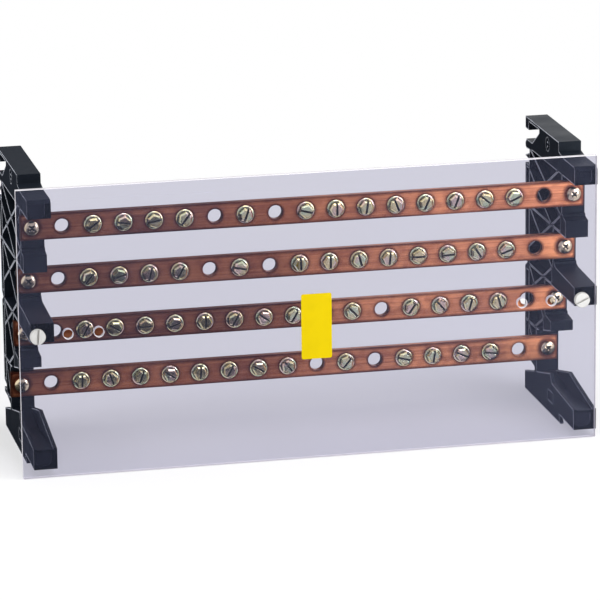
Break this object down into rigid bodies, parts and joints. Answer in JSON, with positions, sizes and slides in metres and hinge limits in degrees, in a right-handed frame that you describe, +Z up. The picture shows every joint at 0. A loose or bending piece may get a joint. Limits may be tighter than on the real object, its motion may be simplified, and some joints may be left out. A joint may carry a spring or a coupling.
{
  "type": "busbar distribution block",
  "caption": "Open stepped power distribution block: drilled copper bars with terminal screws on ribbed moulded supports, behind a flat clear cover.",
  "frame": {"origin": "under the middle of the whole box, on the plane of the feet", "axes": "+X along the bars to the right as seen from the cover, +Y from the cover to the rear, +Z up"},
  "size_m": [0.335, 0.1124, 0.1675],
  "materials": {
    "support": "satin black",
    "copper": "drawn copper",
    "yellow_zinc": "yellow zinc plate",
    "plated_steel": "zinc plate",
    "clear_cover": "clear",
    "nylon": "white nylon",
    "label": "yellow film"
  },
  "bodies": {
    "root": {"left_support": "support", "right_support": "support", "busbar_1": "copper", "terminal_screws_1": "yellow_zinc", "left_bar_screw_1": "plated_steel", "right_bar_screw_1": "plated_steel", "busbar_2": "copper", "terminal_screws_2": "yellow_zinc", "left_bar_screw_2": "plated_steel", "right_bar_screw_2": "plated_steel", "busbar_3": "copper", "terminal_screws_3": "yellow_zinc", "left_bar_screw_3": "plated_steel", "right_bar_screw_3": "plated_steel", "busbar_4": "copper", "terminal_screws_4": "yellow_zinc", "left_bar_screw_4": "plated_steel", "right_bar_screw_4": "plated_steel", "cover_plate": "clear_cover", "left_cover_screw": "nylon", "right_cover_screw": "nylon", "cover_label": "label"}
  },
  "joints": []
}
